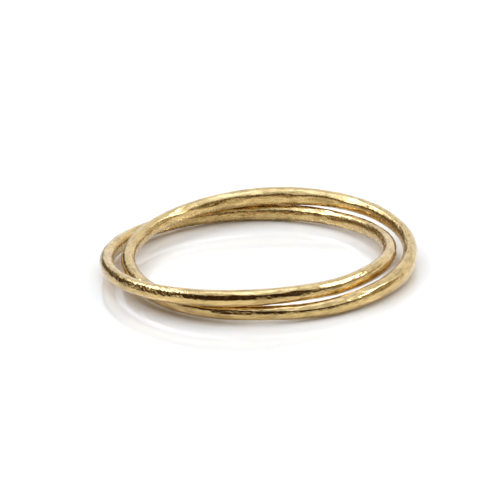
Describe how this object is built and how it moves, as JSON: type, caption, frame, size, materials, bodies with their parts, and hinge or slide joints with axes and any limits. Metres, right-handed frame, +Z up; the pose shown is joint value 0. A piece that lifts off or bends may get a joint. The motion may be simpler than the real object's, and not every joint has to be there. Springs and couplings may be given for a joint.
{
  "type": "double band ring",
  "caption": "Finger ring of thin hammered gold wire bands that pass through each other and lie nearly flat, the front of one resting over the front of the other.",
  "frame": {"origin": "middle of the pair on the surface that it lies on", "axes": "+Z up from the surface, +X to the right along the sideways step between the bands, -Y towards the viewer"},
  "size_m": [0.0204, 0.0192, 0.0022],
  "materials": {
    "hammered_gold": "yellow gold, hammered and softly polished"
  },
  "bodies": {
    "right": {"right_band": "hammered_gold"},
    "left": {"left_band": "hammered_gold"}
  },
  "joints": [
    {"name": "band_swing", "type": "hinge", "parent": "right", "child": "left", "pos_m": [0, -0.00005, 0.00105], "axis": [-1, 0, 0], "range_deg": [0, 160]}
  ]
}
